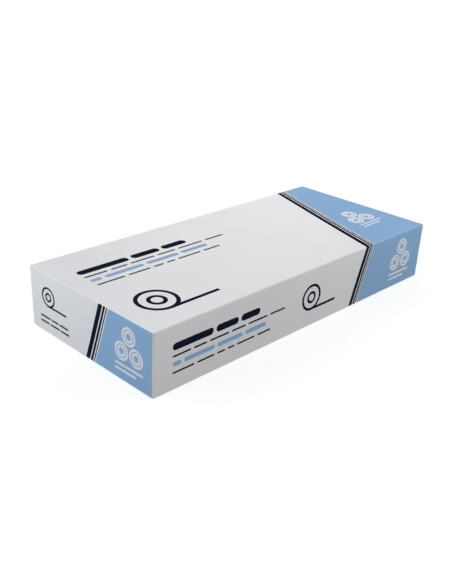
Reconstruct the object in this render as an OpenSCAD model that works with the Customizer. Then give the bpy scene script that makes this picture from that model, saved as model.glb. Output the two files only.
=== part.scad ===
// Closed carton for three wide aluminium foil refill rolls that lie side by side.
// It rests on its base. X runs along the rolls, -Y is the front side, Z is up, and
// the origin is the middle of the base. It is glued shut and can't be seen into, so it
// is one solid: the folds, cut edges and glued flaps are modelled on its outside.

/* [Rolls inside] */
// Width of the foil on each roll
roll_w = 450; // [200:5:600]
// Outer diameter of a full roll
roll_d = 67; // [40:0.5:90]
// How many rolls lie side by side
roll_count = 3; // [1:1:4]
// Free length inside, both ends together
end_play = 5.2; // [2:0.1:20]
// Free width inside, both sides together
side_play = 3.4; // [1:0.1:20]
// Free height above the rolls
top_play = 3.4; // [1:0.1:20]

/* [Board] */
// Thickness of the board
board_t = 0.8; // [0.5:0.1:2]
// Outside radius of a fold
crease_r = 1; // [0.6:0.1:3]

/* [Glued ends] */
// Step from a long side in to the outer flap's cut edge, at the fold
flap_side_gap = 0.4; // [0.3:0.1:2]
// How far each cut edge leans in from the fold to the flap's free edge
flap_taper = 0.8; // [0:0.1:6]
// Step from the outer flap's cut edge in to the inner flap's
inner_flap_step = 0.3; // [0.2:0.1:3]
// Height of the outer flap's free edge above the base
flap_foot_gap = 0.9; // [0.3:0.1:6]
// Radius of a flap's free corners
flap_corner_r = 2; // [1:0.5:12]

/* [Glued seam] */
// Step from the back side in to the base panel's cut edge
seam_gap = 0.4; // [0.3:0.1:2]

/* [Print] */
// From the right-hand end to the blue field, along the front fold of the top
blue_reach = 110; // [70:5:180]
// How far the blue field's edge leans, in mm along for each mm round the carton
blue_lean = 0.34; // [0:0.02:0.5]
// From an end's right-hand side to its blue field, at mid height
end_blue_reach = 79; // [60:1:100]
// Number of dark stripes beside a blue field
stripe_count = 3; // [1:1:5]
// Width of the stripe nearest the blue field
stripe_w = 1.6; // [1:0.2:4]
// How many times as wide as the last each further stripe is
stripe_growth = 2; // [1:0.1:2.5]
// Blank board between stripes, and between a stripe and the blue field
stripe_gap = 1.6; // [1:0.2:6]
// Outer diameter of a roll drawn on a blue field
ring_d = 21; // [10:1:24]
// Diameter of the drawn roll's core
ring_core_d = 7.5; // [3:0.5:9]
// Width of the line drawn between a roll's turns
ring_line = 1.2; // [0.6:0.1:2]
// Outer diameter of the large drawn roll on the top
mark_d = 48; // [20:1:60]
// Line width of the large drawn roll
mark_line = 4.6; // [2:0.2:7]
// Length of the foil drawn as coming off the large roll
mark_tail = 66; // [20:1:80]
// Height of the heavy bars that stand for a title on the top
title_h = 10; // [5:0.5:14]
// Height of the thin bars that stand for small text on the top
line_h = 2.6; // [1:0.2:4]

/* [Hidden] */

board_colour = [0.93, 0.93, 0.94];
blue_colour = [0.50, 0.70, 0.87];
navy_colour = [0.10, 0.10, 0.24];

// At an end the outer flap, the inner flap and the side flaps lie on each other
end_layers = 3;
carton_l = roll_w + end_play + 2 * end_layers * board_t;
carton_w = roll_count * roll_d + side_play + 2 * board_t;
carton_h = roll_d + top_play + 2 * board_t;
// Ends of the long sides' panels, inside the two flaps that cover each end
core_l = carton_l - 4 * board_t;
// Half widths of the two flaps at their folds
outer_half = carton_w / 2 - flap_side_gap;
inner_half = outer_half - inner_flap_step;

// Depth to which a printed field colours the board
ink_t = 0.1;
// Overrun of a cutting shape
over = 1;
fine_fn = 64;
small_fn = 40;
bar_fn = 16;

// The edge of the blue field runs straight round the carton, from the front side over
// the top to the back. These are its places at the middle of each panel.
top_edge_x = carton_l / 2 - blue_reach + blue_lean * carton_w / 2;
front_edge_x = carton_l / 2 - blue_reach - blue_lean * carton_h / 2;
back_edge_x = carton_l / 2 - blue_reach + blue_lean * (carton_w + carton_h / 2);
// Left margin of the print on the long panels
margin_x = -carton_l / 2 + 25;
// From the right-hand end to the middle of the drawn rolls on a long panel
rolls_inset = ring_d * 2.2;
// Middle of the drawn rolls above a wall's middle
rolls_rise = carton_h * 0.1;
// Scale of the text and of the large drawn roll on the long sides
side_size = 0.8;
// On the back the blue field is on the left, so its text stands further right
back_text_shift = blue_reach * 0.62;
// Rows of a text block: ink, height, foot above the block's foot, lengths of the words
text_rows = [
    ["navy", title_h, 33, [68, 40, 36]],
    ["navy", line_h, 24, [30, 22, 34, 26, 38, 30]],
    ["blue", title_h * 0.62, 11, [14, 52, 46, 40]],
    ["navy", line_h, 1, [36, 30, 14, 12, 34, 26]]
];
word_gap = 5;

// What a fold of radius r takes off a square corner at the origin, with the board in the
// third quadrant.
module crease_off(r) {
    translate([-r, -r])
        difference() {
            square(r + over);
            circle(r, $fn = small_fn);
        }
}

// A panel stack w wide and h high, standing on y = 0. Each item of rounded says whether
// that corner is a fold: right foot, left foot, left top, right top.
module creased_rect(w, h, rounded) {
    difference() {
        translate([-w / 2, 0])
            square([w, h]);
        for (corner = [0:3])
            if (rounded[corner])
                translate([(corner == 0 || corner == 3 ? 1 : -1) * w / 2, corner > 1 ? h : 0])
                    mirror([corner == 1 || corner == 2 ? 1 : 0, 0])
                        mirror([0, corner < 2 ? 1 : 0])
                            crease_off(crease_r);
    }
}

// Section across the rolls. The base panel's cut edge lies under the back side's lowest
// fold, where the glued lap turns in.
module sleeve_section() {
    difference() {
        union() {
            translate([0, board_t])
                creased_rect(carton_w, carton_h - board_t, [true, false, true, true]);
            translate([-carton_w / 2, 0])
                square([carton_w - seam_gap, board_t]);
        }
        translate([-carton_w / 2, 0])
            mirror([1, 0])
                mirror([0, 1])
                    crease_off(crease_r);
    }
}

// The four long panels, up to the folds of the side flaps
module sleeve() {
    intersection() {
        translate([-core_l / 2, 0, 0])
            rotate([90, 0, 90])
                linear_extrude(core_l)
                    sleeve_section();
        translate([0, 0, -over])
            linear_extrude(carton_h + 2 * over)
                translate([0, -carton_w / 2])
                    creased_rect(core_l, carton_w, [true, true, true, true]);
    }
}

// Outline of a flap that hangs from a fold at y = 0 down to y = -drop. half is its half
// width at the fold. Its cut edges lean in, and its free corners are round.
module flap_outline(half, drop) {
    lean = atan(flap_taper / drop);
    r = flap_corner_r;
    centre_x = half - flap_taper * (drop - r) / drop - r / cos(lean);
    centre_y = r - drop;
    touch_x = centre_x + r * cos(lean);
    touch_y = centre_y - r * sin(lean);
    polygon([
        [-half, 0], [-touch_x, touch_y], [-centre_x, -drop],
        [centre_x, -drop], [touch_x, touch_y], [half, 0]
    ]);
    for (side = [-1, 1])
        translate([side * centre_x, centre_y])
            circle(r, $fn = small_fn);
}

// Side view of a flap and the end of the panel that it is folded from. The fold's outer
// corner is the origin, the panel runs back along -x and the flap hangs along -y.
module folded_strip(drop, back) {
    difference() {
        union() {
            translate([-board_t, -drop])
                square([board_t, drop]);
            translate([-back, -board_t])
                square([back, board_t]);
        }
        crease_off(crease_r);
    }
}

// A flap as board: its outline seen from the end, cut from its folded strip. It stands
// with its fold at z = 0 and its face on x = 0.
module flap(half, drop, back) {
    intersection() {
        rotate([90, 0, 0])
            linear_extrude(2 * half + 2 * over, center = true)
                folded_strip(drop, back);
        translate([-back - over, 0, 0])
            rotate([90, 0, 90])
                linear_extrude(back + 2 * over) {
                    flap_outline(half, drop);
                    translate([-half, -over / 2])
                        square([2 * half, over]);
                }
    }
}

// One glued end: the inner flap comes up from the base, the outer flap comes down from
// the top and stops just above the base.
module glued_end() {
    translate([carton_l / 2 - board_t, 0, 0])
        mirror([0, 0, 1])
            flap(inner_half, carton_h - board_t, board_t + crease_r);
    translate([carton_l / 2, 0, carton_h])
        flap(outer_half, carton_h - flap_foot_gap, 2 * board_t + crease_r);
}

module carton_form() {
    sleeve();
    for (turn = [0, 180])
        rotate([0, 0, turn])
            glued_end();
}

// A strip w wide whose left edge leans through (x, 0), between two heights
module leaning_strip(x, w, foot, top, lean) {
    polygon([
        [x + lean * foot, foot], [x + w + lean * foot, foot],
        [x + w + lean * top, top], [x + lean * top, top]
    ]);
}

// Dark stripes to the left of a leaning edge, each wider than the last
function stripe_width(i) = stripe_w * pow(stripe_growth, i - 1);
function stripe_reach(i) = i == 0 ? 0 : stripe_reach(i - 1) + stripe_gap + stripe_width(i);
module stripes(x, foot, top, lean) {
    for (i = [1:stripe_count])
        leaning_strip(x - stripe_reach(i), stripe_width(i), foot, top, lean);
}

// A bar with round ends, from its left foot
module bar(w, h) {
    translate([h / 2, 0])
        square([w - h, h]);
    for (x = [h / 2, w - h / 2])
        translate([x, h / 2])
            circle(d = h, $fn = bar_fn);
}

// A row of bars in place of words, from its left foot
function sum_to(v, n) = n == 0 ? 0 : v[n - 1] + sum_to(v, n - 1);
module words(lengths, h, gap) {
    for (i = [0:len(lengths) - 1])
        translate([sum_to(lengths, i) + i * gap, 0])
            bar(lengths[i], h);
}

// The rows of a text block that are printed in one ink, from the block's left foot
module text_block(ink, size) {
    for (row = text_rows)
        if (row[0] == ink)
            translate([0, row[2] * size])
                words(row[3] * size, row[1] * size, word_gap * size);
}

// A ring drawn with a line of the given width, inside its diameter
module ring(d, line, facets) {
    difference() {
        circle(d = d, $fn = facets);
        circle(d = d - 2 * line, $fn = facets);
    }
}

// A drawn roll, seen from its end: its turns round its core
module drawn_roll() {
    turns = (ring_d - ring_core_d) / 2;
    difference() {
        ring(ring_d, turns, small_fn);
        ring(ring_d - turns + ring_line, ring_line, small_fn);
    }
}

// A stack of drawn rolls, with two lines of small text below
module drawn_rolls() {
    pitch = ring_d * 1.08;
    rise = pitch * sqrt(3) / 2;
    in_foot = floor(roll_count / 2) + 1;
    foot_w = pitch * (in_foot - 1) + ring_d;
    stack_h = ring_d + (roll_count > in_foot ? rise : 0);
    for (i = [0:roll_count - 1])
        translate([
            (i < in_foot ? i : i - in_foot + 0.5) * pitch + (ring_d - foot_w) / 2,
            (i < in_foot ? 0 : rise) + (ring_d - stack_h) / 2
        ])
            drawn_roll();
    for (line = [1, 2])
        translate([-foot_w / 2, -stack_h / 2 - line * 2.4 * line_h])
            bar(foot_w * (1.25 - 0.25 * line), line_h);
}

// A large drawn roll with a length of foil coming off it
module roll_mark(size) {
    for (d = [mark_d, mark_d * 0.46])
        ring(d * size, mark_line * size, fine_fn);
    translate([0, -mark_d / 2 * size])
        square([mark_tail * size, mark_line * size]);
}

// The printed shapes of each panel, about the panel's middle
module top_blue() {
    difference() {
        leaning_strip(top_edge_x, carton_l, -carton_w / 2 - over, carton_w / 2 + over, blue_lean);
        translate([carton_l / 2 - rolls_inset, -carton_w * 0.13])
            drawn_rolls();
    }
    translate([margin_x, carton_w * 0.06])
        text_block("blue", 1);
}

module top_navy() {
    stripes(top_edge_x, -carton_w / 2 - over, carton_w / 2 + over, blue_lean);
    translate([margin_x, carton_w * 0.06])
        text_block("navy", 1);
    translate([margin_x + mark_d / 2, -carton_w * 0.25])
        roll_mark(1);
}

module front_blue() {
    difference() {
        leaning_strip(front_edge_x, carton_l, -carton_h, carton_h, blue_lean);
        translate([carton_l / 2 - rolls_inset, rolls_rise])
            drawn_rolls();
    }
    side_text("blue");
}

module front_navy() {
    stripes(front_edge_x, -carton_h, carton_h, blue_lean);
    side_text("navy");
}

module side_text(ink) {
    translate([margin_x, -carton_h * 0.26])
        text_block(ink, side_size);
    if (ink == "navy")
        translate([mark_d * 0.1, 0])
            roll_mark(side_size * 0.85);
}

// On the back the field and its stripes are seen mirrored, so that they meet the top's
module back_blue() {
    mirror([1, 0])
        leaning_strip(back_edge_x, carton_l, -carton_h, carton_h, -blue_lean);
    translate([back_text_shift, 0])
        side_text("blue");
}

module back_navy() {
    mirror([1, 0])
        stripes(back_edge_x, -carton_h, carton_h, -blue_lean);
    translate([back_text_shift, 0])
        side_text("navy");
}

module end_blue() {
    difference() {
        leaning_strip(carton_w / 2 - end_blue_reach, carton_w, -carton_h, carton_h, blue_lean);
        translate([carton_w / 2 - end_blue_reach / 2 + ring_d / 6, rolls_rise])
            drawn_rolls();
    }
}

module end_navy() {
    stripes(carton_w / 2 - end_blue_reach, -carton_h, carton_h, blue_lean);
    translate([-carton_w * 0.34, carton_h * 0.12])
        roll_mark(side_size * 0.62);
    for (line = [0, 1])
        translate([-carton_w * 0.42, -carton_h * (0.25 + 0.09 * line)])
            words([19 - 3 * line, 13 + 5 * line, 16], line_h * side_size, word_gap / 3);
}

// Puts flat shapes on a panel, as a slab that reaches ink_t into the board
module on_top() {
    translate([0, 0, carton_h - ink_t])
        linear_extrude(over)
            children();
}

module on_wall(distance, turn) {
    rotate([0, 0, turn])
        translate([0, ink_t - distance, carton_h / 2])
            rotate([90, 0, 0])
                linear_extrude(over)
                    children();
}

module blue_print() {
    on_top()
        top_blue();
    on_wall(carton_w / 2, 0)
        front_blue();
    on_wall(carton_w / 2, 180)
        back_blue();
    for (turn = [-90, 90])
        on_wall(carton_l / 2, turn)
            end_blue();
}

module navy_print() {
    on_top()
        top_navy();
    on_wall(carton_w / 2, 0)
        front_navy();
    on_wall(carton_w / 2, 180)
        back_navy();
    for (turn = [-90, 90])
        on_wall(carton_l / 2, turn)
            end_navy();
}

module carton() {
    color(board_colour)
        difference() {
            carton_form();
            blue_print();
            navy_print();
        }
    color(blue_colour)
        intersection() {
            carton_form();
            blue_print();
        }
    color(navy_colour)
        intersection() {
            carton_form();
            navy_print();
        }
}

carton();
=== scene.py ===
"""A closed board carton for three wide foil refill rolls, dressed around its CAD model.

Lengths are in metres, in the frame of the CAD model: X runs along the rolls, -Y is the
front side, Z is up, and the origin is the middle of the base.
"""

import math

import bmesh
import bpy
from bpy.props import FloatProperty, FloatVectorProperty, IntProperty, PointerProperty
from mathutils import Matrix, Vector
from mathutils.geometry import tessellate_polygon


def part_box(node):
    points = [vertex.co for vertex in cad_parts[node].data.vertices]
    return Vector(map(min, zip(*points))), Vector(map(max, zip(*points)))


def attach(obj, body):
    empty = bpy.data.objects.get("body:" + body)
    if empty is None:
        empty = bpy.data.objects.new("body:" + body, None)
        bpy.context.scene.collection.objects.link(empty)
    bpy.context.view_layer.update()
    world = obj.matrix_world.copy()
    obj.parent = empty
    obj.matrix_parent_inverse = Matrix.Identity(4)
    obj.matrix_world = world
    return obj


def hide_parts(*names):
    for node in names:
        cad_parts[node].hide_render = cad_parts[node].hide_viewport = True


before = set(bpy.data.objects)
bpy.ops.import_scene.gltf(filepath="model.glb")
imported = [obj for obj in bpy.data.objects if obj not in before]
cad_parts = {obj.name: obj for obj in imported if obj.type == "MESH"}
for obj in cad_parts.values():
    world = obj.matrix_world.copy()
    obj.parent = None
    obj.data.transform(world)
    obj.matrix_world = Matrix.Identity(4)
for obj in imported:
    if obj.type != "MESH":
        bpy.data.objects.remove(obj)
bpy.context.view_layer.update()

bl_info = {
    "name": "Foil Roll Carton",
    "version": (1, 0, 0),
    "blender": (4, 5, 0),
    "location": "View3D > Sidebar > Carton",
    "description": "Builds a closed, printed board carton for foil refill rolls",
    "category": "Object",
}

LOW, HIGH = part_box("carton")
FULL_TURN = 2 * math.pi
QUARTER = math.pi / 2
EIGHTH = math.pi / 4

# How near a cut a point counts as on it, how near each other two points are one, and the
# length of an outline's side that is left out
ON_CUT = 1e-8
SAME_POINT = 1e-7
SAME_INK_POINT = 2e-7
NO_LENGTH = 1e-9
# Facets that meet at less than this angle are shaded as one curve
SMOOTH_LIMIT = math.radians(32)
# The height of the next row of stacked rolls, over their distance across
STACK_RISE = math.sqrt(0.75)
WHITE = (1.0, 1.0, 1.0, 1.0)


def distance(name, description, default):
    return FloatProperty(
        name=name, description=description, default=default, min=0.0,
        precision=5, subtype="DISTANCE", unit="LENGTH",
    )


def share(name, description, default, low=0.0, high=1.0):
    return FloatProperty(
        name=name, description=description, default=default, min=low, max=high,
        subtype="FACTOR",
    )


def count(name, description, default, low, high):
    return IntProperty(name=name, description=description, default=default, min=low, max=high)


def colour(name, description, default):
    return FloatVectorProperty(
        name=name, description=description, default=default, size=3, min=0.0, max=1.0,
        subtype="COLOR",
    )


def power(name, description, default):
    return FloatProperty(name=name, description=description, default=default, min=0.0)


class CartonSizes(bpy.types.PropertyGroup):
    """Sizes of the folded board."""

    length: distance("Length", "Outside length, along the rolls", HIGH.x - LOW.x)
    width: distance("Width", "Outside width", HIGH.y - LOW.y)
    height: distance("Height", "Outside height", HIGH.z - LOW.z)
    board_t: distance("Board", "Thickness of the board", 0.0008)
    fold_r: distance("Fold radius", "Outside radius of a fold", 0.001)
    flap_side_gap: distance("Flap side gap", "Long side to the outer flap's cut edge", 0.0004)
    flap_taper: distance("Flap taper", "Lean of a flap's cut edge over its height", 0.0008)
    inner_flap_step: distance("Inner flap step", "Outer flap's edge to the inner's", 0.0003)
    flap_foot_gap: distance("Flap foot gap", "Outer flap's free edge above the base", 0.0009)
    flap_corner_r: distance("Flap corner radius", "Radius of a flap's free corners", 0.002)
    seam_gap: distance("Seam gap", "Back side to the base panel's cut edge", 0.0004)
    fold_facets: count("Fold facets", "Facets across a fold", 6, 2, 16)
    cell: distance("Cell", "Size of the cells that a panel is cut into", 0.009)
    top_dip: distance("Top dip", "How far the middle of the top lies in", 0.0006)
    side_dip: distance("Side dip", "How far the middle of a long side lies in", 0.00025)
    end_dip: distance("End dip", "How far the middle of an end lies in", 0.00015)
    ripple: distance("Ripple", "Height of the board's slow waves", 0.00006)


class CartonPrint(bpy.types.PropertyGroup):
    """Sizes of the printed design."""

    blue_reach: distance("Blue reach", "Right end to the blue field, at the front fold", 0.110)
    blue_lean: share("Blue lean", "Lean of the blue field's edge", 0.34)
    end_blue_reach: distance("End blue reach", "Width of the blue field on an end", 0.079)
    stripe_count: count("Stripes", "Dark stripes beside a blue field", 3, 0, 5)
    stripe_w: distance("Stripe width", "Width of the stripe nearest the blue field", 0.0016)
    stripe_growth: share("Stripe growth", "Each further stripe's width over the last's", 2.0,
                         low=1.0, high=2.5)
    stripe_gap: distance("Stripe gap", "Blank board beside a stripe", 0.0016)
    roll_count: count("Drawn rolls", "Rolls drawn on a blue field", 3, 1, 4)
    ring_d: distance("Roll diameter", "Diameter of a drawn roll", 0.021)
    ring_core_d: distance("Core diameter", "Diameter of a drawn roll's core", 0.0075)
    ring_line: distance("Roll line", "Width of the line between a drawn roll's turns", 0.0012)
    mark_d: distance("Large roll diameter", "Diameter of the large drawn roll", 0.048)
    mark_line: distance("Large roll line", "Line width of the large drawn roll", 0.0046)
    mark_tail: distance("Foil tail", "Length of foil drawn off the large roll", 0.066)
    title_h: distance("Title bars", "Height of the heavy bars", 0.010)
    line_h: distance("Text bars", "Height of the thin bars", 0.0026)
    word_gap: distance("Word gap", "Blank board between two bars", 0.005)
    side_size: share("Side scale", "Scale of the print on the long sides", 0.8)
    ink_proud: distance("Ink proud", "Height of an ink film above the board", 0.00004)
    ink_sunk: distance("Ink sunk", "Depth of an ink film in the board", 0.00004)


class CartonColours(bpy.types.PropertyGroup):
    """Colours of the board and the inks."""

    white: colour("Board white", "Coated outside of the board", (0.806, 0.803, 0.820))
    # Whiter than the coated white: the raw board's own colour, lifted as painted light against
    # the shade in the recess at the flaps' cut edges
    cut: colour("Cut board", "Raw board at a cut edge", (0.92, 0.92, 0.91))
    blue: colour("Light blue ink", "The large fields", (0.276, 0.470, 0.728))
    navy: colour("Navy ink", "Stripes, large roll and bars", (0.008, 0.0115, 0.030))


class CartonStage(bpy.types.PropertyGroup):
    """Floor and light."""

    floor_size: distance("Floor", "Side of the square floor", 16.0)
    ambient: share("Ambient", "Light from all round", 0.20, high=4.0)
    left: power("Left", "Power of the lamp at the left end", 1.54)
    near: power("Near", "Power of the lamp by the camera", 1.68)
    right: power("Right", "Power of the lamp at the right of the front side", 2.28)
    far: power("Far", "Power of the lamp over the far right corner", 1.39)
    back: power("Back", "Power of the lamp at the left of the back side", 0.71)


def bow(place, reach):
    """1 in the middle, falling in a curve to 0 at the reach and beyond."""
    return max(0.0, 1.0 - (place / reach) ** 2)


def top_wave(x, y):
    """The top's slow waves, of 60 to 150 mm, from about -1.6 to 1.6."""
    return math.sin(43 * x + 1.3) * math.cos(57 * y + 0.4) + 0.6 * math.sin(91 * x - 71 * y)


def side_wave(x, y):
    """A long side's slow waves, of 120 mm. The two sides' waves are out of step."""
    return 0.8 * math.sin(51 * x + math.copysign(2.1, y))


class Form:
    """The carton's sizes, with those that follow from the settings."""

    # How far beside a fold its rubbed coating and painted highlight reach, over the fold's
    # radius
    WEAR_AND_HIGHLIGHT_REACH = 0.6

    def __init__(self, sizes):
        self.sizes = sizes
        self.half_l = sizes.length / 2
        self.half_w = sizes.width / 2
        self.height = sizes.height
        self.t = sizes.board_t
        self.r = sizes.fold_r
        self.facets = sizes.fold_facets
        self.half_core = self.half_l - 2 * self.t
        self.outer_half = self.half_w - sizes.flap_side_gap
        self.inner_half = self.outer_half - sizes.inner_flap_step
        self.x_lines = self.cell_lines(-self.half_core, self.half_core)
        self.x_lines += [self.r - self.half_l, self.half_l - self.r]
        self.y_lines = self.cell_lines(-self.half_w, self.half_w)
        self.z_lines = self.cell_lines(0.0, self.height)

    def cell_lines(self, low, high):
        """Places to cut a panel, from fold to fold, with a close line beside each fold."""
        low, high = low + self.r, high - self.r
        cells = max(1, round((high - low) / self.sizes.cell))
        beside = self.r / 2
        lines = [low + (high - low) * i / cells for i in range(cells + 1)]
        return lines + [low + beside, high - beside]

    def flap_rows(self, half, drop):
        """(depth below the fold, half width) down a flap, with its round free corners."""
        taper, r = self.sizes.flap_taper, self.sizes.flap_corner_r
        lean = math.atan(taper / drop)
        middle = half - taper * (drop - r) / drop - r / math.cos(lean)
        rows = []
        for i in range(self.facets + 1):
            angle = -lean + (QUARTER + lean) * i / self.facets
            rows.append((drop - r + r * math.sin(angle), middle + r * math.cos(angle)))
        return rows

    def settle(self, point):
        """Where a point of the flat-sided carton lies once its panels dip and ripple."""
        x, y, z = point
        sizes, middle = self.sizes, self.height / 2
        across_x = bow(x, self.half_core - self.r)
        across_y = bow(y, self.half_w - self.r)
        across_z = bow(z - middle, middle - self.r)
        side_in = sizes.side_dip + sizes.ripple * side_wave(x, y)
        down = sizes.top_dip + sizes.ripple * top_wave(x, y)
        return Vector((
            x - sizes.end_dip * x / self.half_l * across_y * across_z,
            y - side_in * y / self.half_w * across_x * across_z,
            z - down * across_x * across_y * max(0.0, z / middle - 1.0),
        ))

    def fold_wear(self, point):
        """1 on a fold, falling to 0 just beside it."""
        over_x_end = abs(point[0]) - (self.half_l - self.r)
        over_x_side = abs(point[0]) - (self.half_core - self.r)
        over_y = abs(point[1]) - (self.half_w - self.r)
        over_z = max(point[2] - (self.height - self.r), self.r - point[2])
        nearest = max(min(over_z, over_y), min(over_z, over_x_end), min(over_y, over_x_side))
        return min(1.0, max(0.0, 1.0 + nearest / (self.WEAR_AND_HIGHLIGHT_REACH * self.r)))


def arithmetic(operation, swapped=False):
    """A method of Link for one of Python's operators, or for its reflected form."""
    def act(self, other):
        return self.maths(operation, *((other, self) if swapped else (self, other)))
    return act


class Link:
    """A node's output. Sums, differences and products of links add Math nodes."""

    __add__, __radd__ = arithmetic("ADD"), arithmetic("ADD", True)
    __sub__, __rsub__ = arithmetic("SUBTRACT"), arithmetic("SUBTRACT", True)
    __mul__, __rmul__ = arithmetic("MULTIPLY"), arithmetic("MULTIPLY", True)

    def __init__(self, graph, socket):
        self.graph = graph
        self.socket = socket

    def out(self, name):
        """Another output of the same node."""
        return Link(self.graph, self.graph.find(self.socket.node.outputs, name))

    def maths(self, operation, *values, clamp=False):
        return self.graph.add("ShaderNodeMath", dict(enumerate(values)),
                              operation=operation, use_clamp=clamp)

    def smooth(self, low, high):
        """0 below low, 1 above high and a smooth rise between them."""
        return self.graph.add(
            "ShaderNodeMapRange", {"Value": self, "From Min": low, "From Max": high},
            interpolation_type="SMOOTHSTEP",
        )

    def clamped(self):
        return self.maths("ADD", self, 0.0, clamp=True)


class Graph:
    """Adds nodes to one tree."""

    def __init__(self, tree):
        self.tree = tree

    @staticmethod
    def find(sockets, key):
        if isinstance(key, int):
            return [s for s in sockets if s.enabled][key]
        return next(s for s in sockets if s.enabled and key in (s.name, s.identifier))

    def feed(self, node, sockets):
        """Sets or links a node's inputs. A list links each of its items."""
        for key, value in sockets.items():
            socket = self.find(node.inputs, key)
            for item in value if isinstance(value, list) else [value]:
                if isinstance(item, Link):
                    self.tree.links.new(item.socket, socket)
                else:
                    socket.default_value = item

    def add(self, kind, sockets=None, **settings):
        """A node of a kind: its own settings are set first, then its inputs. It gives the
        node's first output."""
        node = self.tree.nodes.new(kind)
        for name, value in settings.items():
            setattr(node, name, value)
        self.feed(node, sockets or {})
        outputs = [s for s in node.outputs if s.enabled]
        return Link(self, outputs[0]) if outputs else None

    def vector(self, x=0.0, y=0.0, z=0.0):
        return self.add("ShaderNodeCombineXYZ", {0: x, 1: y, 2: z})

    def mix(self, factor, a, b):
        """A colour between a and b."""
        a, b = [(*c, 1.0) if isinstance(c, tuple) else c for c in (a, b)]
        return self.add("ShaderNodeMix", {"Factor": factor, "A": a, "B": b},
                        data_type="RGBA")

    def noise(self, place, scale, detail, roughness, stretch=None):
        """Grey noise, with `scale` features in a metre."""
        if stretch:
            place = self.add("ShaderNodeMapping", {"Vector": place, "Scale": stretch})
        return self.add("ShaderNodeTexNoise", {
            "Vector": place, "Scale": scale, "Detail": detail, "Roughness": roughness,
        })


def fresh_material(name):
    """A Principled material, as (material, graph, shader, Object coordinates)."""
    material = bpy.data.materials.new(name)
    material.use_nodes = True
    graph = Graph(material.node_tree)
    place = graph.add("ShaderNodeTexCoord").out("Object")
    return material, graph, material.node_tree.nodes["Principled BSDF"], place


def cleared(block):
    """A graph on the emptied tree of a material or a world."""
    block.use_nodes = True
    block.node_tree.nodes.clear()
    return Graph(block.node_tree)


def board_grain(graph, place):
    """Fibres under the coating, as a height from about 0 to 1."""
    fibres = graph.noise(place, scale=260.0, detail=4.0, roughness=0.6,
                         stretch=(1.0, 4.5, 4.5))
    pores = graph.noise(place, scale=2600.0, detail=3.0, roughness=0.55)
    return fibres * 0.6 + pores * 0.4


# This fold mask drives rubbed coating and, on the board, a painted highlight
def on_fold(graph):
    """1 on a fold, falling to 0 just beside it."""
    return graph.add("ShaderNodeAttribute", attribute_name="fold_wear").out("Fac")


def fold_cracks(graph, place):
    """Where the coating has cracked and rubbed on a fold, from 0 to 1."""
    flakes = graph.noise(place, scale=1500.0, detail=4.0, roughness=0.7)
    runs = graph.noise(place, scale=38.0, detail=3.0, roughness=0.5)
    worn = flakes * 0.65 + runs * 0.45
    return (worn.smooth(0.56, 0.72) * on_fold(graph)).clamped()


def paper_bump(graph, height, rise, strength):
    """Bumps that are `rise` metres high."""
    return graph.add("ShaderNodeBump", {
        "Height": height, "Distance": rise, "Strength": strength,
    })


def coated_board(colours):
    """White clay-coated board: smooth, half matt and faintly clouded. Its folds are lightened
    with a painted highlight, and rubbed in places."""
    material, graph, shader, place = fresh_material("coated_board")
    clouds = graph.noise(place, scale=14.0, detail=4.0, roughness=0.55)
    grain = board_grain(graph, place)
    cracks = fold_cracks(graph, place)
    specks = graph.noise(place, scale=900.0, detail=2.0, roughness=0.5).smooth(0.70, 0.80)
    white = tuple(colours.white)
    shade = tuple(c * k for c, k in zip(white, (0.955, 0.96, 0.965)))
    fold_highlight_tint = tuple(c * 1.12 for c in white)
    speck, rubbed = (0.55, 0.54, 0.52), (0.66, 0.65, 0.63)
    tint = graph.mix(clouds.smooth(0.25, 0.75) * 0.6 + grain * 0.25, white, shade)
    tint = graph.mix(specks * 0.10, tint, speck)
    # Painted highlight: the folds are lightened where they would catch the light
    tint = graph.mix(on_fold(graph) * 0.2, tint, fold_highlight_tint)
    tint = graph.mix(cracks * 0.45, tint, rubbed)
    graph.feed(shader, {
        "Base Color": tint, "Specular IOR Level": 0.2,
        "Roughness": clouds * 0.10 + grain * 0.06 + cracks * 0.2 + 0.36,
        "Normal": paper_bump(graph, grain - cracks * 0.8, rise=0.00003, strength=0.5),
    })
    return material


def cut_board(colours):
    """Raw board at a cut edge, with its pressed layers. Its colour is lifted as painted light
    against the shade in the recesses at the flaps' cut edges.
    """
    material, graph, shader, place = fresh_material("cut_board")
    fibres = graph.noise(place, scale=1800.0, detail=5.0, roughness=0.65)
    layers = graph.noise(place, scale=700.0, detail=3.0, roughness=0.6,
                         stretch=(6.0, 6.0, 0.4))
    # Raw board colour, lifted as painted light against the shade in the recess at the flaps'
    # cut edges
    raw_with_painted_light = tuple(colours.cut)
    dark = tuple(c * 0.94 for c in raw_with_painted_light)
    graph.feed(shader, {
        "Base Color": graph.mix(fibres * 0.6 + layers * 0.4, raw_with_painted_light, dark), "Roughness": 0.9,
        "Normal": paper_bump(graph, fibres + layers, rise=0.00006, strength=0.8),
    })
    return material


def printed_ink(name, ink, colours, show_through):
    """An even ink film on the coating. It is cracked to the white at the folds."""
    material, graph, shader, place = fresh_material(name)
    clouds = graph.noise(place, scale=18.0, detail=3.0, roughness=0.5)
    mottle = graph.noise(place, scale=750.0, detail=4.0, roughness=0.6)
    grain = board_grain(graph, place)
    cracks = fold_cracks(graph, place)
    ink, white = tuple(ink), tuple(colours.white)
    thin = tuple(c + (w - c) * show_through for c, w in zip(ink, white))
    tint = graph.mix(mottle.smooth(0.35, 0.75) * 0.7 + clouds * 0.3, ink, thin)
    tint = graph.mix(cracks * 0.75, tint, white)
    graph.feed(shader, {
        "Base Color": tint, "Specular IOR Level": 0.0,
        "Roughness": mottle * 0.10 + grain * 0.05 + cracks * 0.25 + 0.33,
        "Normal": paper_bump(graph, grain - cracks * 0.8, rise=0.00003, strength=0.4),
    })
    return material


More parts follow.
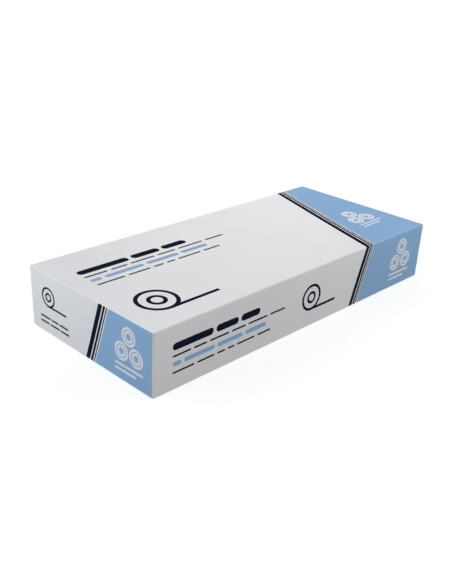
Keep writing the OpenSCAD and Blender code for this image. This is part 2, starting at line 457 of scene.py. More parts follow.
def finish(name, scene):
    """A material by name, made the first time it is asked for."""
    colours = scene.carton_colours
    makers = {
        "coated_board": lambda: coated_board(colours),
        "cut_board": lambda: cut_board(colours),
        "light_blue_ink": lambda: printed_ink(name, colours.blue, colours, 0.05),
        "navy_ink": lambda: printed_ink(name, colours.navy, colours, 0.005),
    }
    return bpy.data.materials.get(name) or makers[name]()


def show(name, data):
    """A mesh, a lamp or a camera as an object of the scene."""
    shown = bpy.data.objects.new(name, data)
    bpy.context.scene.collection.objects.link(shown)
    return shown


def along(axis, length=1.0):
    """A vector along one axis."""
    vector = Vector((0, 0, 0))
    vector[axis] = length
    return vector


def arc(centre, r, start, turn, steps):
    """Points on an arc, both ends included."""
    angles = [start + turn * i / steps for i in range(steps + 1)]
    return [(centre[0] + r * math.cos(a), centre[1] + r * math.sin(a)) for a in angles]


def circle(r, steps):
    return arc((0, 0), r, 0, FULL_TURN, steps)[:-1]


def prism(outline, place, low, high):
    """A closed bmesh: the outline swept from low to high. place(a, b, d) gives a point."""
    bm = bmesh.new()
    ends = [[bm.verts.new(place(a, b, d)) for a, b in outline] for d in (low, high)]
    for ring in ends:
        bm.faces.new(ring)
    for i in range(len(outline)):
        j = (i + 1) % len(outline)
        bm.faces.new((ends[0][i], ends[0][j], ends[1][j], ends[1][i]))
    bmesh.ops.recalc_face_normals(bm, faces=bm.faces)
    return bm


def to_mesh(name, bm, materials=()):
    mesh = bpy.data.meshes.new(name)
    bm.to_mesh(mesh)
    bm.free()
    for material in materials:
        mesh.materials.append(material)
    return mesh


def evaluated(shown):
    """An object's mesh with its modifiers applied."""
    graph = bpy.context.evaluated_depsgraph_get()
    return bpy.data.meshes.new_from_object(shown.evaluated_get(graph), depsgraph=graph)


def combined(first, others, operation):
    """The union or intersection of closed meshes, as a new mesh."""
    base = show("combining", first)
    helpers = [show("combining_with", mesh) for mesh in others]
    for helper in helpers:
        step = base.modifiers.new("combine", "BOOLEAN")
        step.operation, step.solver, step.object = operation, "EXACT", helper
    result = evaluated(base)
    for used in [base, *helpers]:
        bpy.data.objects.remove(used)
    return result


def cut(bm, point, normal, keep_inner=False):
    """Cuts every face on a plane. keep_inner drops what lies outside it."""
    bmesh.ops.bisect_plane(
        bm, geom=bm.verts[:] + bm.edges[:] + bm.faces[:], dist=ON_CUT,
        plane_co=point, plane_no=normal, clear_outer=keep_inner,
    )


def sleeve_mesh(form, materials):
    """The four long panels. The base panel's cut edge lies under the back's lowest fold."""
    r, t, n = form.r, form.t, form.facets
    half_w, top, seam = form.half_w, form.height, form.half_w - form.sizes.seam_gap

    def fold(a, b, start):
        return arc((a, b), r, start, QUARTER, n)

    section = fold(r - half_w, r, math.pi) + [(seam, 0.0), (seam, t)]
    section += fold(half_w - r, t + r, -QUARTER) + fold(half_w - r, top - r, 0.0)
    section += fold(r - half_w, top - r, QUARTER)
    body = prism(section, lambda y, z, x: (x, y, z), -form.half_core, form.half_core)
    for face in body.faces:
        middle = face.calc_center_median()
        is_cut_edge = (middle.z < t and middle.y > half_w - 2 * r
                       and abs(face.normal.y) > 0.9)
        face.material_index = int(is_cut_edge)
    plan = []
    for i, (x, y) in enumerate(((1, 1), (-1, 1), (-1, -1), (1, -1))):
        plan += fold(x * (form.half_core - r), y * (half_w - r), i * QUARTER)
    bounds = prism(plan, lambda x, y, z: (x, y, z), -r, top + r)
    return combined(
        to_mesh("sleeve", body, materials), [to_mesh("plan", bounds, materials)], "INTERSECT"
    )


def flap_mesh(form, half, drop, back, place, materials):
    """A flap with the end of the panel it is folded from. place(out, down, y) gives a
    point from the fold's outer corner; cut edges take the second material."""
    r, t = form.r, form.t
    rows = [((-back, 0.0), (-back, t), half)]
    for i in range(form.facets + 1):
        angle = QUARTER * i / form.facets
        sine, cosine = math.sin(angle), math.cos(angle)
        rows.append((
            (-r + r * sine, r - r * cosine),
            (-r + (r - t) * sine, r - (r - t) * cosine),
            half - form.sizes.flap_taper * (r - r * cosine) / drop,
        ))
    rows += [((0.0, depth), (-t, depth), width) for depth, width in form.flap_rows(half, drop)]
    bm = bmesh.new()
    rings = []
    for outer, inner, width in rows:
        rings.append([bm.verts.new(place(*p, y)) for p, y in (
            (outer, -width), (outer, width), (inner, width), (inner, -width))])
    for near, far in zip(rings, rings[1:]):
        for i in range(4):
            j = (i + 1) % 4
            face = bm.faces.new((near[i], near[j], far[j], far[i]))
            face.material_index = i % 2
    bm.faces.new(rings[0])
    bm.faces.new(rings[-1]).material_index = 1
    bmesh.ops.recalc_face_normals(bm, faces=bm.faces)
    return to_mesh("flap", bm, materials)


def folded_board(form, materials):
    """The whole folded blank as one closed bmesh, cut into cells."""
    parts = []
    for side in (-1, 1):
        parts.append(flap_mesh(
            form, form.inner_half, form.height - form.t, form.t + form.r,
            lambda out, down, y, s=side: (s * (form.half_l - form.t + out), y, down),
            materials,
        ))
        parts.append(flap_mesh(
            form, form.outer_half, form.height - form.sizes.flap_foot_gap,
            2 * form.t + form.r,
            lambda out, down, y, s=side: (s * (form.half_l + out), y, form.height - down),
            materials,
        ))
    whole = combined(sleeve_mesh(form, materials), parts, "UNION")
    bm = bmesh.new()
    bm.from_mesh(whole)
    for axis, lines in enumerate((form.x_lines, form.y_lines, form.z_lines)):
        for line in lines:
            cut(bm, along(axis, line), along(axis))
    bmesh.ops.remove_doubles(bm, verts=bm.verts, dist=SAME_POINT)
    loose = [edge for edge in bm.edges if not edge.link_faces]
    bmesh.ops.delete(bm, geom=loose, context="EDGES")
    return bm


def finish_surface(form, bm, bases):
    """Adds the fold mask for rubbed coating and a painted highlight, smooths the folds, and
    keeps the cut edges sharp. bases gives each point's place before the panels settled."""
    wear_and_highlight = bm.verts.layers.float.new("fold_wear")
    for vert, base in zip(bm.verts, bases):
        vert[wear_and_highlight] = form.fold_wear(base)
    for face in bm.faces:
        face.smooth = True
    for edge in bm.edges:
        faces = edge.link_faces
        edge.smooth = (
            len(faces) == 2 and faces[0].material_index == faces[1].material_index
            and edge.calc_face_angle(0.0) < SMOOTH_LIMIT
        )


class Panel:
    """A printed face: its middle, its right and up, and how far its print goes. reach
    has the low and the high side of each axis, and a side is (place of the fold or edge,
    angle that the print turns over it)."""

    def __init__(self, form, middle, right, up, reach, lines, outline=()):
        self.form = form
        self.middle, self.right, self.up = Vector(middle), Vector(right), Vector(up)
        self.out = self.right.cross(self.up)
        self.reach = reach
        self.lines = lines
        self.outline = [Vector((*p, 0)) for p in outline]

    def sides(self, axis):
        """(sign, where its fold starts, where its print ends, the print's turn) of the two
        sides of an axis, on the flat blank."""
        r = self.form.r
        for sign, (edge, turn) in zip((-1, 1), self.reach[axis]):
            start = sign * edge - r
            yield sign, start, sign * (start + r * turn) if turn else edge, turn

    def bend(self, place, axis):
        """(place along the face, depth behind it, turn) of a place on the flat blank."""
        r = self.form.r
        for sign, start, end, most in self.sides(axis):
            over = sign * place - start
            if most and over > 0:
                turn = min(over / r, most)
                return sign * (start + r * math.sin(turn)), r - r * math.cos(turn), sign * turn
        return place, 0.0, 0.0

    def point(self, u, v, lift):
        """The point at (u, v) of the flat blank once folded, before the panels settle,
        and then settled and lifted off the board."""
        along_u, deep_u, turn_u = self.bend(u, 0)
        along_v, deep_v, turn_v = self.bend(v, 1)
        deep = max(deep_u, deep_v)
        normal = (self.right * math.sin(turn_u) * (deep_u >= deep_v)
                  + self.up * math.sin(turn_v) * (deep_v >= deep_u)
                  + self.out * math.cos(max(abs(turn_u), abs(turn_v)))).normalized()
        base = self.middle + self.right * along_u + self.up * along_v - self.out * deep
        return base, self.form.settle(base) + normal * lift

    def fold_lines(self, axis):
        """Lines at the facets of the folds."""
        r, step = self.form.r, QUARTER / self.form.facets
        return [sign * (start + r * step * i) for sign, start, end, turn in self.sides(axis)
                for i in range(round(turn / step) + 1 if turn else 0)]

    def printed(self, flat):
        """Cuts a flat shape at the ends of the panel's print and at its cells."""
        for axis in (0, 1):
            for sign, start, end, turn in self.sides(axis):
                cut(flat, along(axis, end), along(axis, sign), keep_inner=True)
        for a, b in zip(self.outline, self.outline[1:] + self.outline[:1]):
            if (b - a).length > NO_LENGTH:
                cut(flat, a, (b - a).cross(along(2)), keep_inner=True)
        for axis in (0, 1):
            for line in self.lines[axis] + self.fold_lines(axis):
                cut(flat, along(axis, line), along(axis))

    def in_corner_slot(self, u, v):
        """Beside the end fold the blank is narrower than the top panel."""
        return False


class TopPanel(Panel):
    """The top, whose ends are as narrow as the flaps that hang from them."""

    def in_corner_slot(self, u, v):
        form = self.form
        return abs(u) > form.half_core - form.r and abs(v) > form.outer_half


def carton_panels(form):
    """The five printed faces."""
    # How far the print of an end stays inside its flap's cut edges
    inset = 0.00003
    half_h, foot_gap = form.height / 2, form.sizes.flap_foot_gap
    x, y, z = form.x_lines, form.y_lines, [line - half_h for line in form.z_lines]
    mirrored_x, mirrored_y = [-line for line in x], [-line for line in y]
    rows = [(-inset, form.outer_half - inset)]
    rows += [(d - inset, w - inset)
             for d, w in form.flap_rows(form.outer_half, form.height - foot_gap)]
    flap = [(w, half_h - d) for d, w in rows]
    flap = flap[::-1] + [(-u, v) for u, v in flap]

    def reach(half, turn, foot, top, foot_turn=EIGHTH):
        return ((-half, turn), (half, turn)), ((foot, foot_turn), (top, EIGHTH))

    front = reach(form.half_core, QUARTER, -half_h, half_h)
    back = reach(form.half_core, QUARTER, form.t - half_h, half_h)
    end = reach(form.half_w, 0.0, foot_gap - half_h, half_h, foot_turn=0.0)
    top = reach(form.half_l, EIGHTH, -form.half_w, form.half_w)
    slots = [form.r - form.half_core, form.half_core - form.r]
    edges = [-form.outer_half, form.outer_half]
    upright = (0, 0, 1)
    return {
        "top": TopPanel(form, (0, 0, form.height), (1, 0, 0), (0, 1, 0), top,
                        (x + slots, y + edges)),
        "front": Panel(form, (0, -form.half_w, half_h), (1, 0, 0), upright, front, (x, z)),
        "back": Panel(form, (0, form.half_w, half_h), (-1, 0, 0), upright, back,
                      (mirrored_x, z)),
        "left": Panel(form, (-form.half_l, 0, half_h), (0, -1, 0), upright, end,
                      (mirrored_y, z), flap),
        "right": Panel(form, (form.half_l, 0, half_h), (0, 1, 0), upright, end, (y, z), flap),
    }


SOCKET_KINDS = {
    "geometry": "NodeSocketGeometry", "distance": "NodeSocketFloat",
    "share": "NodeSocketFloat", "count": "NodeSocketInt", "material": "NodeSocketMaterial",
}


def new_group(name, **inputs):
    """A Geometry Nodes tree, as (tree, graph, links of its inputs). Its inputs are given
    as their names, by kind."""
    tree = bpy.data.node_groups.new(name, "GeometryNodeTree")
    for kind, labels in inputs.items():
        for label in labels:
            socket = tree.interface.new_socket(label, in_out="INPUT",
                                               socket_type=SOCKET_KINDS[kind])
            if kind == "distance":
                socket.subtype = "DISTANCE"
    tree.interface.new_socket("Geometry", in_out="OUTPUT", socket_type="NodeSocketGeometry")
    graph = Graph(tree)
    entry = tree.nodes.new("NodeGroupInput")
    given = {label: Link(graph, entry.outputs[label])
             for labels in inputs.values() for label in labels}
    return tree, graph, given


def end_group(graph, geometry, ink):
    """The last nodes of a tree: the result is real geometry with its ink on it."""
    real = graph.add("GeometryNodeRealizeInstances", {"Geometry": geometry})
    inked = graph.add("GeometryNodeSetMaterial", {"Geometry": real, "Material": ink})
    graph.add("NodeGroupOutput", {"Geometry": inked})


def on_points(graph, points, instance, **more):
    """Real copies of a shape, one at each point."""
    copies = graph.add("GeometryNodeInstanceOnPoints",
                       {"Points": points, "Instance": instance, **more})
    return graph.add("GeometryNodeRealizeInstances", {"Geometry": copies})


def quadrilateral(graph, *corners):
    points = {"Point %d" % (i + 1): corner for i, corner in enumerate(corners)}
    return graph.add("GeometryNodeCurvePrimitiveQuadrilateral", points, mode="POINTS")


def round_bars_group():
    """Outlines of bars with round ends, one at each point, from its left foot. A point's
    own length and height are its attributes."""
    tree, graph, given = new_group("Round bars", geometry=["Geometry"],
                                   count=["Corner facets"])
    length, height = [
        graph.add("GeometryNodeInputNamedAttribute", {"Name": name}, data_type="FLOAT")
        for name in ("length", "height")
    ]
    unit = quadrilateral(graph, (0, 0, 0), (1, 0, 0), (1, 1, 0), (0, 1, 0))
    bars = on_points(graph, given["Geometry"], unit, Scale=graph.vector(length, height, 1.0))
    bars = graph.add("GeometryNodeFilletCurve", {
        "Curve": bars, "Count": given["Corner facets"], "Radius": height * 0.499,
    }, mode="POLY")
    graph.add("NodeGroupOutput", {"Geometry": bars})
    return tree


def bars_in(graph, given):
    return graph.add("GeometryNodeGroup", {
        "Geometry": given["Geometry"], "Corner facets": given["Corner facets"],
    }, node_tree=tree_named("Round bars"))


def text_bars_group():
    """Filled bars in place of words."""
    tree, graph, given = new_group("Text bars", geometry=["Geometry"],
                                   count=["Corner facets"], material=["Ink"])
    filled_bars = graph.add("GeometryNodeFillCurve", {"Curve": bars_in(graph, given)},
                            mode="NGONS")
    end_group(graph, filled_bars, given["Ink"])
    return tree


def stripes_group():
    """Leaning stripes to the left of a leaning edge, each wider than the last."""
    tree, graph, given = new_group(
        "Leaning stripes", count=["Count"], share=["Growth", "Lean"],
        distance=["Width", "Gap", "Edge", "Foot", "Top"], material=["Ink"])
    number = graph.add("GeometryNodeInputIndex")
    width = given["Width"] * number.maths("POWER", given["Growth"], number)
    reach = graph.add("GeometryNodeAccumulateField", {"Value": width + given["Gap"]},
                      data_type="FLOAT")
    line = graph.add("GeometryNodeMeshLine", {"Count": given["Count"]}, mode="OFFSET")
    line = graph.add("GeometryNodeSetPosition", {
        "Geometry": line, "Position": graph.vector(given["Edge"] + width * 0.5 - reach)})
    stripe = graph.add("GeometryNodeMeshGrid", {
        "Size X": 1.0, "Size Y": given["Top"] - given["Foot"],
        "Vertices X": 2, "Vertices Y": 2,
    })
    stripes = on_points(graph, line, stripe, Scale=graph.vector(width, 1.0, 1.0))
    place = graph.add("ShaderNodeSeparateXYZ", {0: graph.add("GeometryNodeInputPosition")})
    height = place.out("Y") + (given["Top"] + given["Foot"]) * 0.5
    stripes = graph.add("GeometryNodeSetPosition", {
        "Geometry": stripes,
        "Position": graph.vector(place.out("X") + given["Lean"] * height, height)})
    end_group(graph, stripes, given["Ink"])
    return tree


def stacked(graph, given):
    """Points at the middles of stacked rolls: the foot row, then those that lie on it."""
    number = graph.add("GeometryNodeInputIndex")
    in_foot = number.maths("FLOOR", given["Rolls"] * 0.5) + 1.0
    upper = number.maths("GREATER_THAN", number, in_foot - 0.5)
    has_upper = number.maths("GREATER_THAN", given["Rolls"], in_foot + 0.5)
    across = (number - upper * (in_foot - 0.5) - (in_foot - 1.0) * 0.5) * given["Pitch"]
    up = (upper - has_upper * 0.5) * (given["Pitch"] * STACK_RISE)
    line = graph.add("GeometryNodeMeshLine", {"Count": given["Rolls"]}, mode="OFFSET")
    return graph.add("GeometryNodeSetPosition", {
        "Geometry": line,
        "Position": graph.vector(given["Rolls across"] + across, given["Rolls up"] + up),
    })


def field_group():
    """A field with a leaning left edge. A stack of rolls and bars are left blank in it."""
    tree, graph, given = new_group(
        "Ink field", geometry=["Geometry"], share=["Lean"],
        distance=["Edge", "End", "Foot", "Top", "Roll diameter", "Core diameter", "Line",
                  "Pitch", "Rolls across", "Rolls up"],
        count=["Rolls", "Roll facets", "Corner facets"], material=["Ink"])
    edge, end, lean = given["Edge"], given["End"], given["Lean"]
    foot, top = given["Foot"], given["Top"]
    outline = quadrilateral(
        graph, graph.vector(edge + lean * foot, foot), graph.vector(end, foot),
        graph.vector(end, top), graph.vector(edge + lean * top, top))
    outside, core = given["Roll diameter"] * 0.5, given["Core diameter"] * 0.5
    between, line = (outside + core) * 0.5, given["Line"] * 0.5
    circles = [
        graph.add("GeometryNodeCurvePrimitiveCircle",
                  {"Resolution": given["Roll facets"], "Radius": radius}, mode="RADIUS")
        for radius in (outside, between + line, between - line, core)
    ]
    roll = graph.add("GeometryNodeJoinGeometry", {"Geometry": circles})
    rolls = on_points(graph, stacked(graph, given), roll)
    joined = graph.add("GeometryNodeJoinGeometry",
                       {"Geometry": [outline, rolls, bars_in(graph, given)]})
    field = graph.add("GeometryNodeFillCurve", {"Curve": joined}, mode="TRIANGLES")
    end_group(graph, field, given["Ink"])
    return tree


def tree_named(name):
    """A Geometry Nodes tree by name, made the first time it is asked for."""
    makers = {"Round bars": round_bars_group, "Text bars": text_bars_group,
              "Leaning stripes": stripes_group, "Ink field": field_group}
    return bpy.data.node_groups.get(name) or makers[name]()


def grown(name, values, source=None):
    """What a Geometry Nodes tree makes of the source mesh, as a plain flat bmesh."""
    holder = show("growing", source or bpy.data.meshes.new("growing"))
    step = holder.modifiers.new("grow", "NODES")
    step.node_group = tree_named(name)
    for socket in step.node_group.interface.items_tree:
        if socket.item_type == "SOCKET" and socket.name in values:
            step[socket.identifier] = values[socket.name]
    mesh = evaluated(holder)
    bpy.data.objects.remove(holder)
    return facing_up(mesh)


def facing_up(mesh):
    bm = bmesh.new()
    bm.from_mesh(mesh)
    bm.normal_update()
    bmesh.ops.reverse_faces(bm, faces=[f for f in bm.faces if f.normal.z < 0])
    return bm


def bar_points(bars):
    """A mesh of points for the bars (left, foot, length, height)."""
    mesh = bpy.data.meshes.new("bar_points")
    mesh.from_pydata([(left, foot, 0) for left, foot, length, height in bars], [], [])
    for name, column in (("length", 2), ("height", 3)):
        data = mesh.attributes.new(name, "FLOAT", "POINT").data
        data.foreach_set("value", [bar[column] for bar in bars])
    return mesh


def word_row(left, foot, lengths, height, gap):
    """A row of bars in place of words."""
    bars = []
    for length in lengths:
        bars.append((left, foot, length, height))
        left += length + gap
    return bars


class Design:
    """Places of the print on each panel, in metres from the panel's middle."""

    MM = 0.001
    # From one drawn roll's middle to the next, over its diameter
    PITCH = 1.08
    # Outer diameter of the large roll's inner ring, over the roll's
    INNER_RING = 0.46
    # Facets round a bar's end, a drawn roll, the large roll and its inner ring
    CORNER_FACETS, ROLL_FACETS, MARK_FACETS, INNER_FACETS = 6, 72, 90, 60
    # Ink, which bar height, its share, foot above the block's foot, lengths of the words
    ROWS = (
        ("navy", "title_h", 1.0, 33, (68, 40, 36)),
        ("navy", "line_h", 1.0, 24, (30, 22, 34, 26, 38, 30)),
        ("blue", "title_h", 0.62, 11, (14, 52, 46, 40)),
        ("navy", "line_h", 1.0, 1, (36, 30, 14, 12, 34, 26)),
    )

    def __init__(self, form, sizes):
        self.form, self.sizes = form, sizes
        trim = form.r * (1 - QUARTER / 2)
        lean, full_h = sizes.blue_lean, form.height
        at_front_fold = form.half_l - sizes.blue_reach
        end_edge = form.half_w - sizes.end_blue_reach
        self.edges = {
            "top": at_front_fold + lean * form.half_w,
            "front": at_front_fold - lean * (full_h / 2 - 2 * trim),
            "back": at_front_fold + lean * (2 * form.half_w + full_h / 2 - 2 * trim),
            "left": end_edge, "right": end_edge,
        }
        # On the back the blue field is on the left, so its text stands further right
        self.back_shift = 0.62 * sizes.blue_reach
        self.margin = 25 * self.MM - form.half_l
        beside, side_scale = 0.1 * sizes.mark_d, 0.85 * sizes.side_size
        end_mark = (-0.68 * form.half_w, 0.12 * full_h, 0.62 * sizes.side_size)
        self.mark_place = {
            "top": (self.margin + sizes.mark_d / 2, -0.5 * form.half_w, 1.0),
            "front": (beside, 0.0, side_scale),
            "back": (beside + self.back_shift, 0.0, side_scale),
            "left": end_mark, "right": end_mark,
        }

    def text(self, ink, side):
        """The bars of one ink on a panel."""
        form, sizes = self.form, self.sizes
        if side in ("left", "right"):
            return self.end_text() if ink == "navy" else []
        scale = 1.0 if side == "top" else sizes.side_size
        left = self.margin + (self.back_shift if side == "back" else 0.0)
        foot = 0.12 * form.half_w if side == "top" else -0.26 * form.height
        bars = []
        for row_ink, height, part, rise, lengths in self.ROWS:
            if row_ink == ink:
                bars += word_row(
                    left, foot + rise * self.MM * scale, [w * self.MM * scale for w in lengths],
                    getattr(sizes, height) * part * scale, sizes.word_gap * scale)
        return bars

    def end_text(self):
        form, sizes = self.form, self.sizes
        bars = []
        for line in (0, 1):
            bars += word_row(
                -0.84 * form.half_w, -form.height * (0.25 + 0.09 * line),
                [w * self.MM for w in (19 - 3 * line, 13 + 5 * line, 16)],
                sizes.line_h * sizes.side_size, sizes.word_gap / 3)
        return bars

    def rolls_at(self, side):
        """Middle of the stack of drawn rolls, or None."""
        form, sizes = self.form, self.sizes
        inset = form.half_l - 2.2 * sizes.ring_d
        ends = form.half_w - sizes.end_blue_reach / 2 + sizes.ring_d / 6
        rise = 0.1 * form.height
        return {"top": (inset, -0.26 * form.half_w), "front": (inset, rise),
                "left": (ends, rise), "right": (ends, rise)}.get(side)

    def blank_bars(self, side):
        """The bars that are left blank in the blue field, under the drawn rolls."""
        place, sizes = self.rolls_at(side), self.sizes
        if not place:
            return []
        pitch = self.PITCH * sizes.ring_d
        in_foot = sizes.roll_count // 2 + 1
        foot_w = pitch * (in_foot - 1) + sizes.ring_d
        stack_h = sizes.ring_d + (sizes.roll_count > in_foot) * pitch * STACK_RISE
        return [
            (place[0] - foot_w / 2, place[1] - stack_h / 2 - 2.4 * line * sizes.line_h,
             foot_w * (1.25 - 0.25 * line), sizes.line_h)
            for line in (1, 2)
        ]

    def beside_edge(self, name, side, ink, values, source=None):
        """What a tree makes by a panel's leaning edge. The back's is made mirrored."""
        reach, on_back = 2 * self.form.half_w, side == "back"
        bm = grown(name, {
            "Edge": self.edges[side], "Foot": -reach, "Top": reach,
            "Lean": -self.sizes.blue_lean if on_back else self.sizes.blue_lean,
            "Ink": ink, **values,
        }, source)
        if on_back:
            for vert in bm.verts:
                vert.co.x = -vert.co.x
            bmesh.ops.reverse_faces(bm, faces=bm.faces)
        return bm

    def field(self, side, ink):
        """The blue field of a panel."""
        form, sizes, place = self.form, self.sizes, self.rolls_at(side)
        across, up = place or (0.0, 0.0)
        return self.beside_edge("Ink field", side, ink, {
            "End": 2 * form.half_l, "Rolls": sizes.roll_count if place else 0,
            "Roll diameter": sizes.ring_d, "Core diameter": sizes.ring_core_d,
            "Line": sizes.ring_line, "Pitch": self.PITCH * sizes.ring_d,
            "Rolls across": across, "Rolls up": up,
            "Roll facets": self.ROLL_FACETS, "Corner facets": self.CORNER_FACETS,
        }, bar_points(self.blank_bars(side)))

    def stripes(self, side, ink):
        """The dark stripes beside a blue field."""
        sizes = self.sizes
        return self.beside_edge("Leaning stripes", side, ink, {
            "Count": sizes.stripe_count, "Width": sizes.stripe_w,
            "Growth": sizes.stripe_growth, "Gap": sizes.stripe_gap,
        })

    def text_bars(self, side, ink_name, ink):
        bars = self.text(ink_name, side)
        values = {"Corner facets": self.CORNER_FACETS, "Ink": ink}
        return [grown("Text bars", values, bar_points(bars))] if bars else []

    def mark(self, side):
        """The large drawn roll, with a length of foil coming off it."""
        sizes = self.sizes
        x, y, scale = self.mark_place[side]
        r, line = sizes.mark_d / 2 * scale, sizes.mark_line * scale
        tail, inner = sizes.mark_tail * scale, self.INNER_RING * sizes.mark_d / 2 * scale
        meets = math.asin(-(r - line) / r)
        outer = [(0.0, -r), (tail, -r), (tail, line - r)]
        outer += arc((0, 0), r, meets, 1.5 * math.pi - meets, self.MARK_FACETS)[:-1]
        shapes = [
            [outer, circle(r - line, self.MARK_FACETS)],
            [circle(inner, self.INNER_FACETS), circle(inner - line, self.INNER_FACETS)],
        ]
        return [filled([[(x + a, y + b) for a, b in loop] for loop in loops])
                for loops in shapes]


def filled(loops):
    """A flat bmesh: the first loop filled, less the others."""
    loops = [[Vector((*p, 0)) for p in loop] for loop in loops]
    bm = bmesh.new()
    verts = [bm.verts.new(p) for loop in loops for p in loop]
    for corners in tessellate_polygon(loops):
        bm.faces.new([verts[i] for i in corners])
    return facing_up(to_mesh("filled", bm))


def ink_film(name, form, sizes, flats, material):
    """Flat shapes, given with their panels, as one thin closed film folded round the
    carton."""
    whole = bmesh.new()
    bases = []
    for panel, flat in flats:
        panel.printed(flat)
        doomed = [f for f in flat.faces if panel.in_corner_slot(*f.calc_center_median().xy)]
        bmesh.ops.delete(flat, geom=doomed, context="FACES")
        bmesh.ops.remove_doubles(flat, verts=flat.verts, dist=SAME_INK_POINT)
        bmesh.ops.dissolve_degenerate(flat, edges=flat.edges, dist=SAME_INK_POINT)
        layers = []
        for lift in (sizes.ink_proud, -sizes.ink_sunk):
            layer = {}
            for vert in flat.verts:
                base, place = panel.point(vert.co.x, vert.co.y, lift)
                layer[vert] = whole.verts.new(place)
                bases.append(base)
            layers.append(layer)
        for face in flat.faces:
            for layer, order in zip(layers, (1, -1)):
                whole.faces.new([layer[v] for v in face.verts][::order])
        for edge in flat.edges:
            if len(edge.link_loops) == 1:
                a = edge.link_loops[0].vert
                b = edge.other_vert(a)
                whole.faces.new((layers[0][b], layers[0][a], layers[1][a], layers[1][b]))
        flat.free()
    whole.normal_update()
    finish_surface(form, whole, bases)
    return show(name, to_mesh(name, whole, [material]))


class CartonOperator:
    """What the carton's operators share."""

    bl_options = {"REGISTER", "UNDO"}

    def form(self, context):
        return Form(context.scene.carton_sizes)

    def film(self, context, name, ink_name, shapes):
        """A film of one ink. shapes(design, side, ink) gives a panel's flat shapes."""
        design = Design(self.form(context), context.scene.carton_print)
        ink = finish(ink_name, context.scene)
        flats = [
            (panel, flat) for side, panel in carton_panels(design.form).items()
            for flat in shapes(design, side, ink)
        ]
        return ink_film(name, design.form, design.sizes, flats, ink)


class CARTON_OT_board(CartonOperator, bpy.types.Operator):
    """Fold the carton's board, with its flaps, cut edges and seam"""

    bl_idname = "carton.board"
    bl_label = "Folded board"

    def execute(self, context):
        form = self.form(context)
        materials = [finish(n, context.scene) for n in ("coated_board", "cut_board")]
        bm = folded_board(form, materials)
        if any(len(edge.link_faces) != 2 for edge in bm.edges):
            raise RuntimeError("the folded board isn't closed")
        bases = [vert.co.copy() for vert in bm.verts]
        for vert in bm.verts:
            vert.co = form.settle(vert.co)
        bm.normal_update()
        finish_surface(form, bm, bases)
        board = show("carton_board", to_mesh("carton_board", bm, materials))
        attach(board, "root")
        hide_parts("carton")
        return {"FINISHED"}


class CARTON_OT_blue_print(CartonOperator, bpy.types.Operator):
    """Print the light blue fields and bars"""

    bl_idname = "carton.blue_print"
    bl_label = "Light blue print"

    def execute(self, context):
        film = self.film(context, "blue_print", "light_blue_ink", lambda design, side, ink: [
            design.field(side, ink), *design.text_bars(side, "blue", ink)])
        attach(film, "root")
        return {"FINISHED"}


class CARTON_OT_navy_print(CartonOperator, bpy.types.Operator):
    """Print the dark stripes, large rolls and bars"""

    bl_idname = "carton.navy_print"
    bl_label = "Navy print"

    def execute(self, context):
        film = self.film(context, "navy_print", "navy_ink", lambda design, side, ink: [
            design.stripes(side, ink), *design.mark(side),
            *design.text_bars(side, "navy", ink)])
        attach(film, "root")
        return {"FINISHED"}


def seen_directly(graph):
    """1 for what the camera sees, straight, in a gloss or through glass."""
    rays = graph.add("ShaderNodeLightPath")
    seen = rays.out("Is Camera Ray")
    for kind in ("Is Glossy Ray", "Is Transmission Ray"):
        seen = seen.maths("MAXIMUM", seen, rays.out(kind))
    return seen


def floor_material():
    """Pale floor that the camera sees as white, with the carton's soft shadow on it. It
    glows a little more far out, where the lamps don't reach."""
    bounced, shadowed = (0.16, 0.16, 0.16, 1.0), (0.40, 0.40, 0.40, 1.0)
    near_glow, far_glow = 0.70, 0.95
    glow_grows_from, glow_grows_to = 0.35, 0.9
    material = bpy.data.materials.new("pale_floor")
    graph = cleared(material)
    place = graph.add("ShaderNodeTexCoord").out("Object")
    far_out = graph.add("ShaderNodeVectorMath", {0: place}, operation="LENGTH")
    level = far_out.smooth(glow_grows_from, glow_grows_to) * (far_glow - near_glow) + near_glow
    glow = graph.add("ShaderNodeEmission", {"Color": WHITE, "Strength": level})
    white = graph.add("ShaderNodeAddShader", {
        0: graph.add("ShaderNodeBsdfDiffuse", {"Color": shadowed}), 1: glow})
    surface = graph.add("ShaderNodeMixShader", {
        0: seen_directly(graph), 1: graph.add("ShaderNodeBsdfDiffuse", {"Color": bounced}),
        2: white,
    })
    graph.add("ShaderNodeOutputMaterial", {"Surface": surface})
    return material


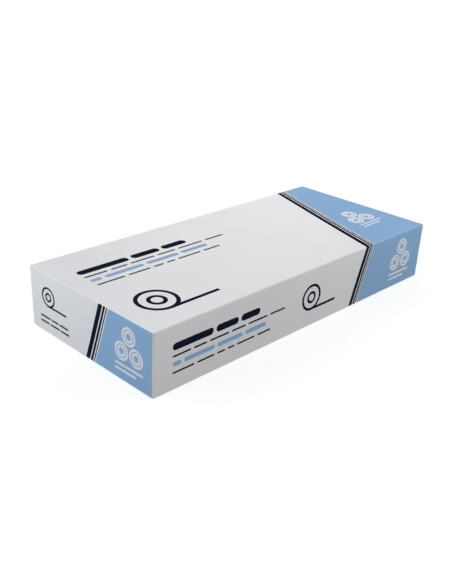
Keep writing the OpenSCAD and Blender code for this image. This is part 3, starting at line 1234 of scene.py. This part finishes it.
class CARTON_OT_stage(bpy.types.Operator):
    """Set the pale floor, the soft lamps and the camera"""

    bl_idname = "carton.stage"
    bl_label = "Stage"

    # How far the floor lies under the carton, so that the two don't share a face
    FLOOR_BELOW = 0.0002
    # Each lamp's setting, place, width and height, and tint. All point at LAMP_TARGET
    LAMP_TARGET = (0, 0, 0.04)
    PLAIN, COOL = (1.0, 1.0, 1.0), (0.95, 1.0, 1.045)
    LAMPS = (
        ("left", (-0.64, 0.16, 0.23), (0.5, 0.36), COOL),
        ("near", (-0.42, -0.62, 0.40), (0.5, 0.4), PLAIN),
        ("right", (0.40, -0.50, 0.42), (0.5, 0.5), PLAIN),
        ("far", (0.34, 0.34, 0.42), (0.5, 0.5), PLAIN),
        ("back", (-0.30, 0.50, 0.40), (0.5, 0.5), PLAIN),
    )
    # The camera's place and directions, in the carton's frame
    CAMERA_PLACE = (-0.63674, -0.58509, 0.41197)
    CAMERA_LOOK = (0.652314, 0.627466, -0.425173)
    CAMERA_RIGHT = (0.706442, -0.706578, 0.041086)
    # Focal length in pixels, over the pixels along the longer side of the picture
    FOCAL_PIXELS, LONG_SIDE_PIXELS = 776.48, 584

    def execute(self, context):
        stage = context.scene.carton_stage
        self.floor(stage)
        self.lamps(stage)
        self.world(context.scene, stage)
        self.camera(context.scene)
        context.scene.view_settings.view_transform = "Standard"
        return {"FINISHED"}

    def floor(self, stage):
        half = stage.floor_size / 2
        mesh = bpy.data.meshes.new("floor")
        mesh.from_pydata([(x, y, -self.FLOOR_BELOW) for x, y in (
            (-half, -half), (half, -half), (half, half), (-half, half))], [], [(0, 1, 2, 3)])
        mesh.materials.append(floor_material())
        show("floor", mesh)

    def lamps(self, stage):
        for setting, place, size, tint in self.LAMPS:
            name = setting + "_lamp"
            lamp = bpy.data.lights.new(name, "AREA")
            lamp.shape, lamp.size, lamp.size_y = "RECTANGLE", *size
            lamp.energy, lamp.color = getattr(stage, setting), tint
            shown = show(name, lamp)
            shown.location = place
            aim = Vector(self.LAMP_TARGET) - Vector(place)
            shown.rotation_euler = aim.to_track_quat("-Z", "Y").to_euler()
            shown.visible_camera = False

    def world(self, scene, stage):
        scene.world = bpy.data.worlds.new("studio")
        graph = cleared(scene.world)
        level = seen_directly(graph) * (1.0 - stage.ambient) + stage.ambient
        sky = graph.add("ShaderNodeBackground", {"Color": WHITE, "Strength": level})
        graph.add("ShaderNodeOutputWorld", {"Surface": sky})

    def camera(self, scene):
        data = bpy.data.cameras.new("camera")
        data.sensor_fit, data.sensor_width = "AUTO", 36.0
        data.lens = self.FOCAL_PIXELS / self.LONG_SIDE_PIXELS * data.sensor_width
        data.clip_start, data.clip_end = 0.05, 60.0
        look, right = Vector(self.CAMERA_LOOK).normalized(), Vector(self.CAMERA_RIGHT)
        right = (right - look * right.dot(look)).normalized()
        turn = Matrix((right, right.cross(look), -look)).transposed()
        scene.camera = show("camera", data)
        scene.camera.matrix_world = Matrix.Translation(self.CAMERA_PLACE) @ turn.to_4x4()


class CARTON_PT_sidebar(bpy.types.Panel):
    """Lists the carton's pieces and their settings"""

    bl_idname = "CARTON_PT_sidebar"
    bl_label = "Foil roll carton"
    bl_space_type = "VIEW_3D"
    bl_region_type = "UI"
    bl_category = "Carton"

    def draw(self, context):
        layout = self.layout
        for operator in OPERATORS:
            layout.operator(operator.bl_idname)
        for name in SETTINGS:
            box = layout.box()
            group = getattr(context.scene, name)
            box.label(text=group.bl_rna.name)
            for key in group.__annotations__:
                box.prop(group, key)


OPERATORS = (CARTON_OT_board, CARTON_OT_blue_print, CARTON_OT_navy_print, CARTON_OT_stage)
SETTINGS = {
    "carton_sizes": CartonSizes, "carton_print": CartonPrint,
    "carton_colours": CartonColours, "carton_stage": CartonStage,
}


def register():
    for kind in (*SETTINGS.values(), *OPERATORS, CARTON_PT_sidebar):
        bpy.utils.register_class(kind)
    for name, kind in SETTINGS.items():
        setattr(bpy.types.Scene, name, PointerProperty(type=kind))


def unregister():
    for name in SETTINGS:
        delattr(bpy.types.Scene, name)
    for kind in reversed((*SETTINGS.values(), *OPERATORS, CARTON_PT_sidebar)):
        bpy.utils.unregister_class(kind)


def main():
    register()
    bpy.ops.carton.board()
    bpy.ops.carton.blue_print()
    bpy.ops.carton.navy_print()
    bpy.ops.carton.stage()


if __name__ == "__main__":
    main()
